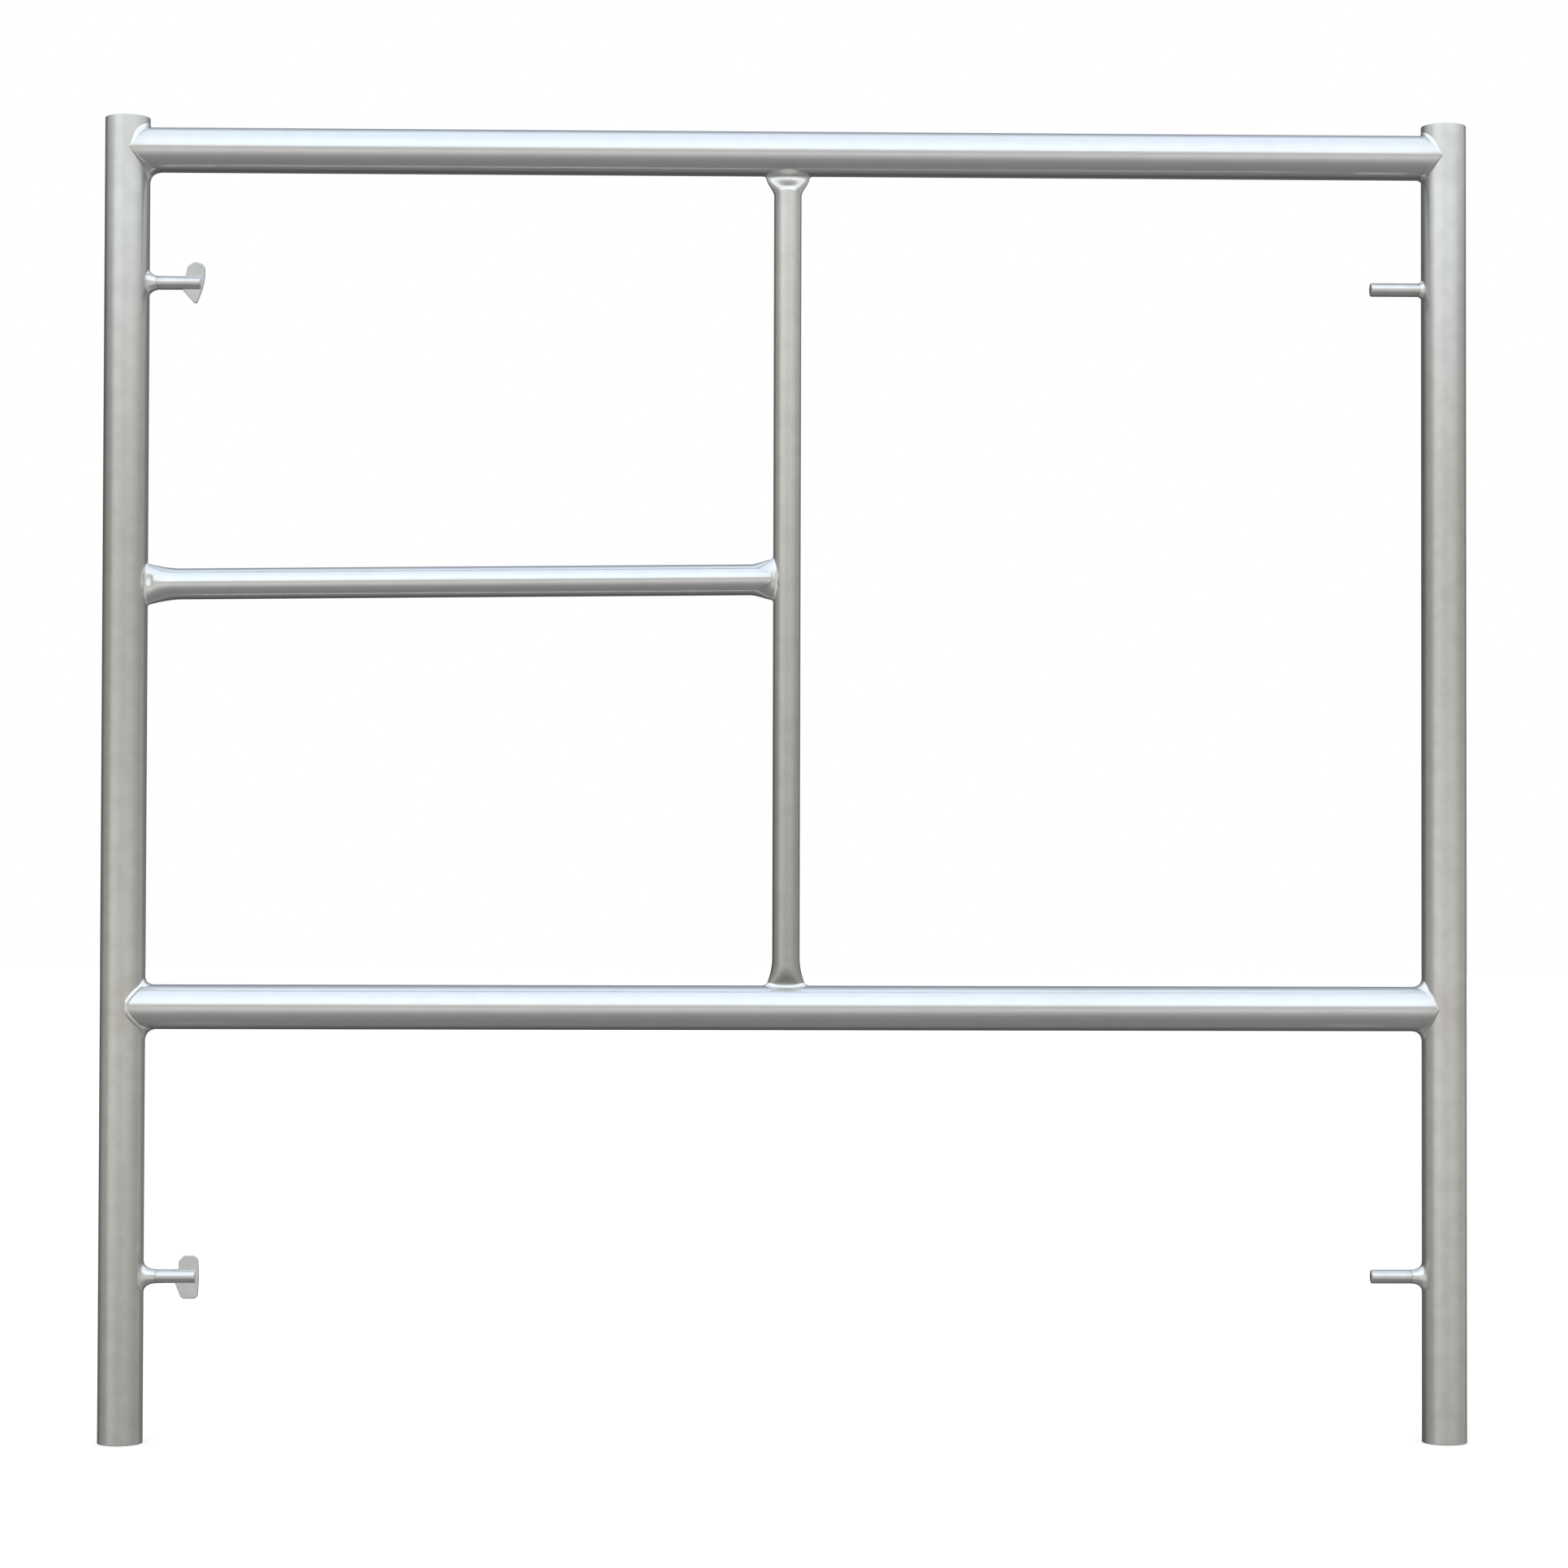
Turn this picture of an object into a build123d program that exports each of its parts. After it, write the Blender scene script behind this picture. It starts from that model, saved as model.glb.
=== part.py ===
from build123d import *
import os
from math import hypot, sqrt

# Frame: +Z up, X across the frame, Y through it. The origin is on the ground, midway between the legs.

# Overall sizes, mm.
leg_height = 1219.2
leg_spacing = 1219.2
header_drop = 29.5
ledger_height = 399.5
rung_height = 791.5
rung_rise = 7.0
post_offset = 0.0

# Legs, header and ledger share one tube.
tube_diameter = 41.3
tube_wall = 2.4
rim_round = 0.6

# Thinner tubes, with their ends crimped wide and thin.
post_diameter = 25.4
post_wall = 2.0
post_top_width = 40.0
post_bottom_width = 37.0
post_end_depth = 12.0
post_top_flare = 20.0
post_bottom_flare = 25.0
rung_diameter = 28.6
rung_wall = 2.0
rung_end_width = 38.5
rung_end_depth = 17.0
rung_leg_flare = 30.0
rung_post_flare = 21.0
crimp_land = 1.5
crimp_start = 3.0
flare_steps = 3

# Brace studs stand on the legs' inner faces.
stud_diameter = 12.7
stud_reach = 47.6
stud_from_end = 152.4
stud_chamfer = 0.8
stud_root_radius = 3.0

# Swinging locks and their rivets.
pivot_reach = 41.5
rivet_diameter = 4.0
rivet_clearance = 0.08
toggle_thickness = 3.6
toggle_side_clearance = 0.3
toggle_floor_clearance = 1.0
toggle_outer = 9.3
toggle_top = 19.0
toggle_upper_inner = 9.4
toggle_lower_inner = 12.5
toggle_slant = 5.0
toggle_edge_round = 0.8
toggle_bow_radius = 60.0
toggle_crown_radius = 6.0
toggle_waist_radius = 8.0
toggle_corner_radius = 2.0
toggle_foot_rounding = 0.3
upper_toggle_bow = 3.2
lower_toggle_bow = 1.0
upper_toggle_bottom = 18.0
lower_toggle_bottom = 20.5
upper_toggle_foot = 3.0
lower_toggle_foot = 15.0
upper_toggle_lean = 12.0

# Weld sizes: how far each bead reaches along the pieces that it joins. A stud's has its reach and rise.
header_weld = 6.5
ledger_weld = 9.0
tube_weld_crown = 1.6
tube_weld_cheek = 2.4
weld_toe = 0.6
weld_hollow = 0.35
post_top_weld = 4.0
post_bottom_weld = 2.5
rung_weld = 3.0
upper_right_stud_weld = (3.5, 3.0)
upper_left_stud_weld = (9.0, 6.5)
lower_left_stud_weld = (13.0, 8.5)
lower_right_stud_weld = (12.0, 8.0)

tube_radius = tube_diameter / 2
bore_radius = tube_radius - tube_wall
leg_x = leg_spacing / 2
header_height = leg_height - header_drop
left = -1
right = 1


def save(builder, name):
    builder.part.label = name
    export_step(builder.part, f"parts/{name}.step")


def make_leg(side):
    """An open tube on the ground, its rims rounded."""
    with BuildPart() as leg:
        with BuildSketch(Plane.XY):
            with Locations((side * leg_x, 0)):
                Circle(tube_radius)
                Circle(bore_radius, mode=Mode.SUBTRACT)
        extrude(amount=leg_height)
        rims = leg.edges().filter_by(GeomType.CIRCLE).group_by(SortBy.RADIUS)[-1]
        fillet(rims, rim_round)
    return leg


def cut_leg_away(side, low, high):
    """Takes the leg's whole round out of the part being built, between two heights."""
    with BuildSketch(Plane.XY.offset(low)) as leg_round:
        with Locations((side * leg_x, 0)):
            Circle(tube_radius)
    extrude(leg_round.sketch, amount=high - low, mode=Mode.SUBTRACT)


def make_cross_tube(height):
    """A tube from leg to leg, coped to both."""
    with BuildPart() as cross_tube:
        with BuildSketch(Plane.YZ.offset(-leg_x)):
            with Locations((0, height)):
                Circle(tube_radius)
                Circle(bore_radius, mode=Mode.SUBTRACT)
        extrude(amount=leg_spacing)
        for side in (left, right):
            cut_leg_away(side, height - tube_diameter, height + tube_diameter)
    return cross_tube


def make_cross_tube_weld(side, height, reach):
    """A bead from a cross tube to a leg: thick in the corners, thin where it crosses the leg's face."""
    corner = tube_radius + reach
    diamond = 2 * tube_radius + reach + weld_toe
    centre = side * leg_x
    inward = -side
    with BuildPart() as bead:
        with BuildSketch(Plane.YZ.offset(centre - inward * tube_weld_crown)):
            with Locations((0, height)):
                Ellipse(tube_radius + tube_weld_crown, corner)
        extrude(amount=inward * (corner + tube_weld_crown))
        with BuildSketch(Plane.XY.offset(height - corner)):
            with Locations((centre, 0)):
                Ellipse(corner, tube_radius + tube_weld_cheek)
        extrude(amount=2 * corner, mode=Mode.INTERSECT)
        with BuildSketch(Plane.XZ):
            with BuildLine():
                Polyline(
                    (centre, height - diamond),
                    (centre + inward * diamond, height),
                    (centre, height + diamond),
                    (centre - inward * diamond, height),
                    close=True,
                )
            make_face()
        extrude(amount=tube_diameter, both=True, mode=Mode.INTERSECT)
        with BuildSketch(Plane.YZ.offset(centre)):
            with Locations((0, height)):
                Circle(tube_radius)
        extrude(amount=inward * diamond, mode=Mode.SUBTRACT)
        cut_leg_away(side, height - diamond, height + diamond)
    return bead


def ease(share):
    """Runs from 1 to 0 as share runs from 0 to 1, level at both ends."""
    return 1 - share * share * (3 - 2 * share)


def far_end(start, length):
    """The plane at the other end of a bar, facing back along it."""
    return Plane(start.origin + start.z_dir * length, x_dir=start.x_dir, z_dir=-start.z_dir)


def crimped_shape(start, length, radius, widths, depth, seats, flares, wall=0.0, mode=Mode.ADD):
    """A round bar along start's normal, wide and thin at both ends. wall takes that much off all round.

    seats are the radii of the mates that its ends are coped to, whose axes it starts and ends on.
    """
    half_depth = depth / 2 - wall
    inner = radius - wall
    for end, width, seat, flare in zip((start, far_end(start, length)), widths, seats, flares):
        half_width = width / 2 - wall
        land = seat + crimp_land
        with BuildSketch(end.offset(crimp_start)) as crimp:
            Ellipse(half_width, half_depth)
        extrude(crimp.sketch, amount=land - crimp_start, mode=mode)
        sections = []
        for step in range(flare_steps + 1):
            share = step / flare_steps
            with BuildSketch(end.offset(land + flare * share)) as section:
                if step < flare_steps:
                    widened = inner + (half_width - inner) * ease(share)
                    thinned = inner + (half_depth - inner) * ease(share)
                    Ellipse(widened, thinned)
                else:
                    Circle(inner)
            sections.append(section.sketch)
        loft(sections=sections, mode=mode)
    with BuildSketch(start.offset(seats[0] + crimp_land + flares[0])) as middle:
        Circle(inner)
    extrude(middle.sketch, amount=length - sum(seats) - sum(flares) - 2 * crimp_land, mode=mode)


ledger_to_header = header_height - ledger_height
leg_to_post = leg_x + post_offset
post_radius = post_diameter / 2
rung_radius = rung_diameter / 2
post_start = Plane((post_offset, 0, ledger_height), x_dir=(1, 0, 0), z_dir=(0, 0, 1))
post_end = far_end(post_start, ledger_to_header)
rung_start = Plane(
    (-leg_x, 0, rung_height - rung_rise / 2), x_dir=(-rung_rise, 0, leg_to_post), z_dir=(leg_to_post, 0, rung_rise)
)
rung_length = hypot(leg_to_post, rung_rise)
rung_end = far_end(rung_start, rung_length)


def post_shape(wall=0.0, mode=Mode.ADD):
    widths = (post_bottom_width, post_top_width)
    seats = (tube_radius, tube_radius)
    flares = (post_bottom_flare, post_top_flare)
    crimped_shape(post_start, ledger_to_header, post_radius, widths, post_end_depth, seats, flares, wall, mode)


def rung_shape(wall=0.0, mode=Mode.ADD):
    widths = (rung_end_width, rung_end_width)
    seats = (tube_radius, post_radius)
    flares = (rung_leg_flare, rung_post_flare)
    crimped_shape(rung_start, rung_length, rung_radius, widths, rung_end_depth, seats, flares, wall, mode)


def cut_cross_tube_away(height):
    """Takes a cross tube's whole round out of the part being built, about the post."""
    with BuildSketch(Plane.YZ.offset(post_offset - post_top_width)) as tube_round:
        with Locations((0, height)):
            Circle(tube_radius)
    extrude(tube_round.sketch, amount=2 * post_top_width, mode=Mode.SUBTRACT)


def cut_post_away():
    """Takes the post's whole round out of the part being built, about the rung."""
    with BuildSketch(Plane.XY.offset(rung_height - rung_end_width)) as post_round:
        with Locations((post_offset, 0)):
            Circle(post_radius)
    extrude(post_round.sketch, amount=2 * rung_end_width, mode=Mode.SUBTRACT)


def make_center_post():
    with BuildPart() as post:
        post_shape()
        post_shape(wall=post_wall, mode=Mode.SUBTRACT)
        cut_cross_tube_away(ledger_height)
        cut_cross_tube_away(header_height)
    return post


def make_side_rung():
    with BuildPart() as rung:
        rung_shape()
        rung_shape(wall=rung_wall, mode=Mode.SUBTRACT)
        cut_leg_away(left, rung_height - rung_end_width, rung_height + rung_end_width)
        cut_post_away()
    return rung


def collar(end, width, depth, seat, reach):
    """A ring of weld before it is cut to its seat: straight up to the seat, then tapered to the bar."""
    with BuildSketch(end.offset(crimp_start)) as base:
        Ellipse(width / 2 + reach, depth / 2 + reach)
    extrude(base.sketch, amount=seat + weld_toe - crimp_start)
    with BuildSketch(end.offset(seat + weld_toe)) as foot:
        Ellipse(width / 2 + reach, depth / 2 + reach)
    with BuildSketch(end.offset(seat + reach)) as toe:
        Ellipse(width / 2 + weld_toe, depth / 2 + weld_toe)
    loft(sections=[foot.sketch, toe.sketch])


def make_post_weld(height, end, width, reach):
    """A bead between the post's crimped end and the header or the ledger."""
    with BuildPart() as bead:
        collar(end, width, post_end_depth, tube_radius, reach)
        post_shape(mode=Mode.SUBTRACT)
        cut_cross_tube_away(height)
    return bead


def make_rung_weld(side, reach):
    """A bead between the rung's crimped end and the leg, on the left, or the post, on the right."""
    end = rung_start if side == left else rung_end
    seat = tube_radius if side == left else post_radius
    with BuildPart() as bead:
        collar(end, rung_end_width, rung_end_depth, seat, reach)
        rung_shape(mode=Mode.SUBTRACT)
        if side == left:
            cut_leg_away(left, rung_height - rung_end_width, rung_height + rung_end_width)
        else:
            cut_post_away()
    return bead


stud_radius = stud_diameter / 2
rivet_radius = rivet_diameter / 2
upper_stud_height = leg_height - stud_from_end
lower_stud_height = stud_from_end
pivot_x = -leg_x + tube_radius + pivot_reach
slot_width = toggle_thickness + 2 * toggle_side_clearance
toggle_sweep = hypot(lower_toggle_bottom, toggle_outer)
slot_depth = stud_reach - pivot_reach + toggle_sweep + toggle_floor_clearance


def stud_plane(side, height):
    """X runs from the leg's axis towards the middle of the frame, Y runs up."""
    return Plane((side * leg_x, 0, height), x_dir=(-side, 0, 0), z_dir=(0, side, 0))


def stud_axis(side, height):
    return Axis((side * leg_x, 0, height), (-side, 0, 0))


def stud_shape(side, height, weld_reach, mode=Mode.ADD):
    """The stud's solid round, thinned to a root under its weld, from the leg's axis to its end."""
    toe = tube_radius + weld_reach
    end = tube_radius + stud_reach
    with BuildSketch(stud_plane(side, height)) as half:
        with BuildLine():
            Polyline(
                (0, 0),
                (0, stud_root_radius),
                (toe, stud_radius),
                (end - stud_chamfer, stud_radius),
                (end, stud_radius - stud_chamfer),
                (end, 0),
                close=True,
            )
        make_face()
    revolve(half.sketch, axis=stud_axis(side, height), mode=mode)


def pivot_plane(height, lean=0):
    """Centred on a left stud's rivet, X towards the middle of the frame and lean degrees down, Y up."""
    across = Vector(1, 0, 0).rotate(Axis.Y, lean)
    return Plane((pivot_x, 0, height), x_dir=across, z_dir=(0, -1, 0))


def make_plain_stud(side, height, weld):
    with BuildPart() as stud:
        stud_shape(side, height, weld[0])
        cut_leg_away(side, height - tube_diameter, height + tube_diameter)
    return stud


def make_slotted_stud(height, weld):
    """A left stud, whose end is slotted for a lock and drilled for its rivet."""
    with BuildPart() as stud:
        stud_shape(left, height, weld[0])
        cut_leg_away(left, height - tube_diameter, height + tube_diameter)
        with BuildSketch(stud_plane(left, height)):
            with Locations((tube_radius + stud_reach - slot_depth / 2, 0)):
                Rectangle(slot_depth, stud_diameter)
        extrude(amount=slot_width / 2, both=True, mode=Mode.SUBTRACT)
        with BuildSketch(pivot_plane(height)):
            Circle(rivet_radius)
        extrude(amount=stud_diameter, both=True, mode=Mode.SUBTRACT)
    return stud


def make_rivet(height):
    """A pin across the slot, its ends dressed flush with the stud."""
    with BuildPart() as rivet:
        with BuildSketch(pivot_plane(height)):
            Circle(rivet_radius)
        extrude(amount=stud_radius, both=True)
        with BuildSketch(Plane.YZ.offset(pivot_x)):
            with Locations((0, height)):
                Circle(stud_radius)
        extrude(amount=rivet_diameter, both=True, mode=Mode.INTERSECT)
    return rivet


def toggle_outline(bow, bottom, foot):
    """The lock plate's outline: outer edge bowed, lower lobe cut back to a foot of the given width."""
    shoulder = toggle_outer - bow
    corners = {
        "top": ((shoulder, toggle_top), toggle_crown_radius),
        "bow": ((toggle_outer, 0), toggle_bow_radius),
        "foot": ((shoulder, -bottom), toggle_foot_rounding * foot),
        "heel": ((shoulder - foot, -bottom), toggle_foot_rounding * foot),
        "lower": ((-toggle_lower_inner, -stud_radius), toggle_corner_radius),
        "upper": ((-toggle_upper_inner, stud_radius), toggle_waist_radius),
        "neck": ((-toggle_upper_inner, toggle_top - toggle_slant), toggle_corner_radius),
        "crown": ((toggle_slant - toggle_upper_inner, toggle_top), toggle_corner_radius),
    }
    points = [point for point, corner_radius in corners.values()]
    radii = [corner_radius for point, corner_radius in corners.values()]
    FilletPolyline(*points, radius=radii, close=True)


def make_toggle(height, bow, bottom, foot, lean=0):
    """A flat lock plate that hangs across the stud, lean degrees off upright."""
    with BuildPart() as toggle:
        with BuildSketch(pivot_plane(height, lean)):
            with BuildLine():
                toggle_outline(bow, bottom, foot)
            make_face()
        extrude(amount=toggle_thickness / 2, both=True)
        sides = toggle.edges().group_by(Axis.Y)
        fillet(sides[0] + sides[-1], toggle_edge_round)
        with BuildSketch(pivot_plane(height)):
            Circle(rivet_radius + rivet_clearance)
        extrude(amount=toggle_thickness, both=True, mode=Mode.SUBTRACT)
    return toggle


def make_stud_weld(side, height, weld):
    """A hollow-faced bead round a stud's root, cut to the leg and the stud."""
    reach, rise = weld
    toe = tube_radius + reach
    foot_radius = stud_radius + rise
    foot_depth = tube_radius - sqrt(tube_radius**2 - foot_radius**2) + weld_toe
    foot = (tube_radius + weld_toe, foot_radius)
    middle = (tube_radius + weld_hollow * reach, stud_radius + weld_hollow * rise)
    with BuildPart() as bead:
        with BuildSketch(stud_plane(side, height)):
            with BuildLine():
                Polyline(
                    (toe, stud_radius),
                    (toe, 0),
                    (tube_radius - foot_depth, 0),
                    (tube_radius - foot_depth, foot_radius),
                    foot,
                )
                ThreePointArc(foot, middle, (toe, stud_radius))
            make_face()
        revolve(axis=stud_axis(side, height))
        stud_shape(side, height, reach, mode=Mode.SUBTRACT)
        cut_leg_away(side, height - tube_diameter, height + tube_diameter)
    return bead


os.makedirs("parts", exist_ok=True)

for side, word in ((left, "left"), (right, "right")):
    save(make_leg(side), f"{word}_leg")
    save(make_cross_tube_weld(side, header_height, header_weld), f"header_{word}_weld")
    save(make_cross_tube_weld(side, ledger_height, ledger_weld), f"ledger_{word}_weld")
    save(make_rung_weld(side, rung_weld), f"rung_{word}_weld")

save(make_cross_tube(header_height), "header_tube")
save(make_cross_tube(ledger_height), "lower_ledger")

save(make_center_post(), "center_post")
save(make_post_weld(ledger_height, post_start, post_bottom_width, post_bottom_weld), "post_bottom_weld")
save(make_post_weld(header_height, post_end, post_top_width, post_top_weld), "post_top_weld")
save(make_side_rung(), "side_rung")

save(make_slotted_stud(upper_stud_height, upper_left_stud_weld), "upper_left_stud")
save(make_slotted_stud(lower_stud_height, lower_left_stud_weld), "lower_left_stud")
save(make_plain_stud(right, upper_stud_height, upper_right_stud_weld), "upper_right_stud")
save(make_plain_stud(right, lower_stud_height, lower_right_stud_weld), "lower_right_stud")
save(make_stud_weld(left, upper_stud_height, upper_left_stud_weld), "upper_left_stud_weld")
save(make_stud_weld(left, lower_stud_height, lower_left_stud_weld), "lower_left_stud_weld")
save(make_stud_weld(right, upper_stud_height, upper_right_stud_weld), "upper_right_stud_weld")
save(make_stud_weld(right, lower_stud_height, lower_right_stud_weld), "lower_right_stud_weld")

upper_toggle = make_toggle(
    upper_stud_height, upper_toggle_bow, upper_toggle_bottom, upper_toggle_foot, upper_toggle_lean
)
save(upper_toggle, "upper_left_toggle")
lower_toggle = make_toggle(lower_stud_height, lower_toggle_bow, lower_toggle_bottom, lower_toggle_foot)
save(lower_toggle, "lower_left_toggle")
save(make_rivet(upper_stud_height), "upper_left_toggle_rivet")
save(make_rivet(lower_stud_height), "lower_left_toggle_rivet")
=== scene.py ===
import bpy
import bmesh
import math
from mathutils import Matrix, Vector


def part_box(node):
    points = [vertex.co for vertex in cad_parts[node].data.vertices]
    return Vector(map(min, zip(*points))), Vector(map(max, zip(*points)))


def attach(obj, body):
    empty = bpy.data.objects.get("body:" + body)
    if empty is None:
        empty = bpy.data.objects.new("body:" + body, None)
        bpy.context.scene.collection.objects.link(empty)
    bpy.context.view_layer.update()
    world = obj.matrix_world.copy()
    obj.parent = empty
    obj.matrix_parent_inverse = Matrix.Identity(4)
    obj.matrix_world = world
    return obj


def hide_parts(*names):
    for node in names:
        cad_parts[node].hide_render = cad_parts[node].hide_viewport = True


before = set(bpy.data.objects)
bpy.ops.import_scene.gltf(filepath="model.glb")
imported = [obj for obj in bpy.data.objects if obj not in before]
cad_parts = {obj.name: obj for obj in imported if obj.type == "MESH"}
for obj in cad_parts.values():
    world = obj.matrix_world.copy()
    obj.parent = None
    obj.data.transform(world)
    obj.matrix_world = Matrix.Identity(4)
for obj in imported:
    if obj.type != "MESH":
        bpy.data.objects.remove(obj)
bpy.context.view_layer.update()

mm = 0.001


# Places and sizes, all read from the frame.

def boxOf(node):
    low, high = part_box(node)
    return Vector(low), Vector(high)


def middleOf(node):
    low, high = boxOf(node)
    return (low + high) / 2


legLow, legHigh = boxOf("left_leg")
tubeRadius = (legHigh.x - legLow.x) / 2
legX = -middleOf("left_leg").x
legHeight = legHigh.z
headerZ = middleOf("header_tube").z
ledgerZ = middleOf("lower_ledger").z
postX = middleOf("center_post").x
postRadius = boxOf("center_post")[1].y
rungZ = middleOf("side_rung").z
rungRadius = boxOf("side_rung")[1].y
studRadius = boxOf("upper_right_stud")[1].y
upperStudZ = middleOf("upper_right_stud").z
lowerStudZ = middleOf("lower_right_stud").z
across, through, up = Vector((1, 0, 0)), Vector((0, 1, 0)), Vector((0, 0, 1))


# Node maths: a wired socket takes part in plain Python sums.

class Wire:
    def __init__(self, maker, socket):
        self.maker = maker
        self.socket = socket

    def maths(self, operation, first, second=0.0):
        return self.maker.node("ShaderNodeMath", {"operation": operation}, {0: first, 1: second})

    def __add__(self, other):
        return self.maths("ADD", self, other)

    def __radd__(self, other):
        return self.maths("ADD", other, self)

    def __sub__(self, other):
        return self.maths("SUBTRACT", self, other)

    def __rsub__(self, other):
        return self.maths("SUBTRACT", other, self)

    def __mul__(self, other):
        return self.maths("MULTIPLY", self, other)

    def __truediv__(self, other):
        return self.maths("DIVIDE", self, other)

    def __rtruediv__(self, other):
        return self.maths("DIVIDE", other, self)

    def __abs__(self):
        return self.maths("ABSOLUTE", self)

    def sine(self):
        return self.maths("SINE", self)

    def above(self, level):
        return self.maths("MAXIMUM", self, level)

    def below(self, level):
        return self.maths("MINIMUM", self, level)

    def ramp(self, low, high, start=0.0, end=1.0):
        settings = {"interpolation_type": "SMOOTHSTEP"}
        return self.maker.node("ShaderNodeMapRange", settings, {0: self, 1: low, 2: high, 3: start, 4: end})


class Maker:
    def __init__(self, tree):
        self.tree = tree
        tree.nodes.clear()

    def feed(self, socket, value):
        if isinstance(value, Wire):
            self.tree.links.new(value.socket, socket)
        elif value is not None:
            socket.default_value = value

    def node(self, kind, settings=None, inputs=None, output=0):
        made = self.tree.nodes.new(kind)
        for key, value in (settings or {}).items():
            if key == "stops":
                fillRamp(made.color_ramp, value)
            else:
                setattr(made, key, value)
        for key, value in (inputs or {}).items():
            self.feed(made.inputs[key], value)
        return Wire(self, made.outputs[output]) if len(made.outputs) else None

    def parts(self, kind, inputs):
        # every output of a node, wired
        made = self.tree.nodes.new(kind)
        for key, value in inputs.items():
            self.feed(made.inputs[key], value)
        return [Wire(self, output) for output in made.outputs]

    def blend(self, factor, first, second, mode="MIX"):
        settings = {"data_type": "RGBA", "blend_type": mode}
        return self.node("ShaderNodeMix", settings, {0: factor, 6: first, 7: second}, 2)


def fillRamp(ramp, stops):
    elements = ramp.elements
    while len(elements) > 1:
        elements.remove(elements[-1])
    elements[0].position, elements[0].color = stops[0][0], (*stops[0][1], 1)
    for position, color in stops[1:]:
        elements.new(position).color = (*color, 1)


# Finishes.

def stretched(maker, coords, scale, stretch, detail=2.0, roughness=0.5, seed=0.0):
    # noise whose grain is drawn out by the three numbers of stretch
    inputs = {"Vector": coords, "Scale": stretch, "Location": (seed, seed, seed)}
    place = maker.node("ShaderNodeMapping", {}, inputs)
    inputs = {"Vector": place, "Scale": scale, "Detail": detail, "Roughness": roughness}
    return maker.node("ShaderNodeTexNoise", {}, inputs)


steelLook = {
    "scales": {"fine": 900, "lines": 260, "mottle": 60, "clouds": 5, "scuffs": 150},
    "color": (0.86, 0.86, 0.85, 1),
    "mottle": 0.93,  # zinc's darker patches, as a share of the color
    "dullColor": (0.62, 0.62, 0.60, 1),  # handling and store dust
    "heatColor": (0.66, 0.61, 0.54, 1),  # straw tint beside the welds
    "heat": 0.22,
    "paintedShadeShares": (1.0, 1.0),  # painted shade: shares of the color at the ledger's height and at the header's, darkening a tube towards its foot or its top
    "roughness": 0.20,
    "grainDepth": 0.035,
}
# painted shade: the legs' steel is darkened towards the header
legLook = dict(steelLook, color=(0.80, 0.78, 0.75, 1), paintedShadeShares=(1.0, 0.90), roughness=0.24)
# painted light: a lighter copy of the legs' steel, standing in for more light on the right leg; its top is
# darkened as painted shade
rightLegLitLook = dict(legLook, color=(0.88, 0.86, 0.83, 1), paintedShadeShares=(1.0, 0.86))
# painted light and shade: a lighter copy of the legs' steel, standing in for more light on the post, darkened
# towards its foot as painted shade
postLitLook = dict(legLook, color=(1.0, 0.99, 0.97, 1), paintedShadeShares=(0.62, 1.0))
crossLook = dict(steelLook, color=(0.90, 0.905, 0.91, 1), mottle=0.975, roughness=0.17)


def steelMaterial(name, grain, heatSpots, look=steelLook):
    # drawn tube: grain is the stretch of its fine lines, heatSpots are places with the tint's reach
    material = bpy.data.materials.new(name)
    material.use_nodes = True
    maker = Maker(material.node_tree)
    coords = maker.node("ShaderNodeTexCoord", {}, {}, 3)
    scales = look["scales"]
    fine = stretched(maker, coords, scales["fine"], grain, 3, 0.6)
    lines = stretched(maker, coords, scales["lines"], grain, 4, 0.65, 3.1)
    mottle = stretched(maker, coords, scales["mottle"], (1, 1, 1), 4, 0.5, 7.7)
    clouds = stretched(maker, coords, scales["clouds"], (1, 1, 1), 3, 0.5, 1.3)
    scuffs = stretched(maker, coords, scales["scuffs"], tuple(part ** 0.5 for part in grain), 6, 0.75, 9.4)
    # painted shade: the color is darkened by height towards the ledger or the header, standing in for less
    # light there
    foot, top = [tuple(part * share for part in look["color"][:3]) + (1,) for share in look["paintedShadeShares"]]
    height = maker.parts("ShaderNodeSeparateXYZ", {0: coords})[2]
    color = maker.blend(height.ramp(ledgerZ, headerZ), foot, top)
    patches = maker.blend(mottle.ramp(0.35, 0.70), (1, 1, 1, 1), (look["mottle"],) * 3 + (1,))
    color = maker.blend(1.0, color, patches, "MULTIPLY")
    color = maker.blend(lines.ramp(0.52, 0.80) * 0.12, color, look["dullColor"])
    color = maker.blend(clouds.ramp(0.50, 0.78) * 0.12, color, look["dullColor"])
    marks = scuffs.ramp(0.68, 0.75)
    color = maker.blend(marks * 0.25, color, look["dullColor"])
    heat = 0.0
    for place, reach in heatSpots:
        away = maker.node("ShaderNodeVectorMath", {"operation": "DISTANCE"}, {0: coords, 1: place}, 1)
        heat = away.ramp(reach * 0.55, reach, 1.0, 0.0).above(heat)
    heat = heat * mottle.ramp(0.25, 0.65, 0.45, 1.0)
    color = maker.blend(heat * look["heat"], color, look["heatColor"])
    roughness = look["roughness"] + (mottle - 0.5) * 0.02 + (lines - 0.5) * 0.06 + marks * 0.06 + heat * 0.05
    inputs = {"Strength": look["grainDepth"], "Distance": 0.0006, "Height": fine * 0.6 + lines * 0.4}
    bump = maker.node("ShaderNodeBump", {}, inputs)
    inputs = {"Base Color": color, "Metallic": 1.0, "Roughness": roughness, "Normal": bump}
    shader = maker.node("ShaderNodeBsdfPrincipled", {}, inputs)
    maker.node("ShaderNodeOutputMaterial", {}, {0: shader})
    return material


weldLook = {
    "color": (0.93, 0.93, 0.93, 1),
    "dullColor": (0.66, 0.65, 0.63, 1),
    "toeShadeColor": (0.13, 0.125, 0.12, 1),  # painted shade: dark line in the crease where the bead meets the tube
    "roughness": 0.22,
}


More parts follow.
